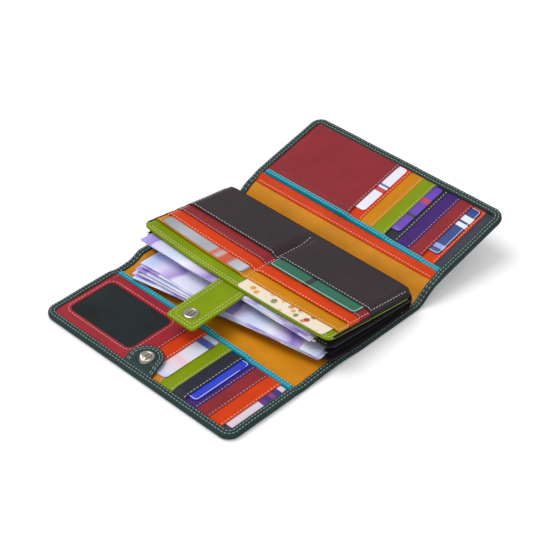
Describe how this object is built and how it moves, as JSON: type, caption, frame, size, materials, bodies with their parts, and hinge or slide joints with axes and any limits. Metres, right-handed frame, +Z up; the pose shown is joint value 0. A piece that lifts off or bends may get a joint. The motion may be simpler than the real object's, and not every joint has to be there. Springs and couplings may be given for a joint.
{
  "type": "trifold wallet",
  "caption": "Large trifold leather wallet opened flat, with coloured card pockets on both sides and a note organizer with a snap strap in the middle.",
  "frame": {"origin": "centre of the opened wallet's footprint, on the surface it lies on", "axes": "+X along the two spines, +Y from the left card panel across the centre to the right card panel, +Z up"},
  "size_m": [0.197, 0.301, 0.0369],
  "materials": {
    "cover_leather": "smooth bottle-green leather, satin",
    "burgundy_leather": "smooth burgundy leather, satin",
    "red_leather": "smooth red leather, satin",
    "orange_leather": "smooth orange leather, satin",
    "ochre_leather": "smooth ochre leather, satin",
    "lime_leather": "smooth lime-green leather, satin",
    "charcoal_leather": "smooth charcoal leather, satin",
    "purple_leather": "smooth purple leather, satin",
    "teal_leather": "smooth teal leather, satin",
    "plum_leather": "smooth dark plum leather, satin",
    "gusset_leather": "thin black leather",
    "navy_lining": "woven navy lining",
    "nickel": "polished nickel",
    "window_film": "clear film over a dark lining",
    "card_light": "plain light card",
    "card_blue": "plain blue card",
    "card_pink": "plain pale pink card",
    "card_purple": "plain purple card",
    "card_navy": "plain dark blue card",
    "card_grey": "plain silver-grey card",
    "card_cream": "cream card with a plain pattern",
    "card_green": "plain green card",
    "note_paper": "cotton paper, plain lilac-white"
  },
  "bodies": {
    "centre": {"centre_cover": "cover_leather", "centre_lining": "ochre_leather", "left_spine_cover": "cover_leather", "left_spine_lining": "ochre_leather", "right_spine_cover": "cover_leather", "right_spine_lining": "ochre_leather", "organizer_back": "plum_leather", "organizer_fold": "plum_leather", "lower_gusset_left": "gusset_leather", "lower_gusset_right": "gusset_leather", "notes_lower": "note_paper", "strap_stud": "nickel"},
    "left_flap": {"left_cover": "cover_leather", "left_pocket_bed": "navy_lining", "left_window_panel": "red_leather", "left_window_film": "window_film", "left_strip_1": "orange_leather", "left_strip_2": "ochre_leather", "left_strip_3": "lime_leather", "left_strip_4": "charcoal_leather", "left_strip_5": "purple_leather", "left_strip_6": "burgundy_leather", "left_strip_7": "orange_leather", "left_card_white": "card_light", "left_card_blue": "card_blue", "left_card_pink": "card_pink", "left_binding": "teal_leather", "left_snap_tab": "cover_leather", "left_snap": "nickel"},
    "right_flap": {"right_cover": "cover_leather", "right_pocket_bed": "navy_lining", "right_panel": "burgundy_leather", "right_strip_1": "orange_leather", "right_strip_2": "ochre_leather", "right_strip_3": "lime_leather", "right_strip_4": "charcoal_leather", "right_strip_5": "purple_leather", "right_strip_6": "burgundy_leather", "right_strip_7": "orange_leather", "right_card_white": "card_light", "right_card_purple": "card_purple", "right_card_blue": "card_navy", "right_binding": "teal_leather", "right_facing": "orange_leather", "right_stud": "nickel"},
    "leaf": {"leaf_lime": "lime_leather", "leaf_ochre": "ochre_leather", "leaf_orange": "orange_leather", "leaf_burgundy": "burgundy_leather", "leaf_plum": "plum_leather", "leaf_card_patterned": "card_cream", "leaf_card_grey": "card_grey", "leaf_card_green": "card_green"},
    "divider": {"divider_leaf": "plum_leather", "notes_upper": "note_paper", "upper_gusset_left": "gusset_leather", "upper_gusset_right": "gusset_leather"},
    "strap": {"strap": "lime_leather", "strap_snap": "nickel"}
  },
  "joints": [
    {"name": "left_fold", "type": "hinge", "parent": "centre", "child": "left_flap", "pos_m": [0, -0.06252, 0.0295], "axis": [-1, 0, 0], "range_deg": [0, 179], "deforming": ["left_spine_cover", "left_spine_lining"]},
    {"name": "right_fold", "type": "hinge", "parent": "centre", "child": "right_flap", "pos_m": [0, 0.06047, 0.02803], "axis": [1, 0, 0], "range_deg": [0, 166.5], "deforming": ["right_spine_cover", "right_spine_lining"]},
    {"name": "leaf_lift", "type": "hinge", "parent": "centre", "child": "leaf", "pos_m": [0, 0.04148, 0.017], "axis": [-1, 0, 0], "range_deg": [0, 3]},
    {"name": "divider_lift", "type": "hinge", "parent": "centre", "child": "divider", "pos_m": [0, 0.03998, 0.013], "axis": [-1, 0, 0], "range_deg": [0, 1.5]},
    {"name": "strap_fold", "type": "hinge", "parent": "leaf", "child": "strap", "pos_m": [0, -0.05052, 0.029], "axis": [-1, 0, 0], "range_deg": [0, 184]}
  ],
  "couplings": [
    {"joint": "divider_lift", "follows": "leaf_lift", "ratio": 0.5},
    {"joint": "strap_fold", "follows": "left_fold", "ratio": 1.0277}
  ]
}
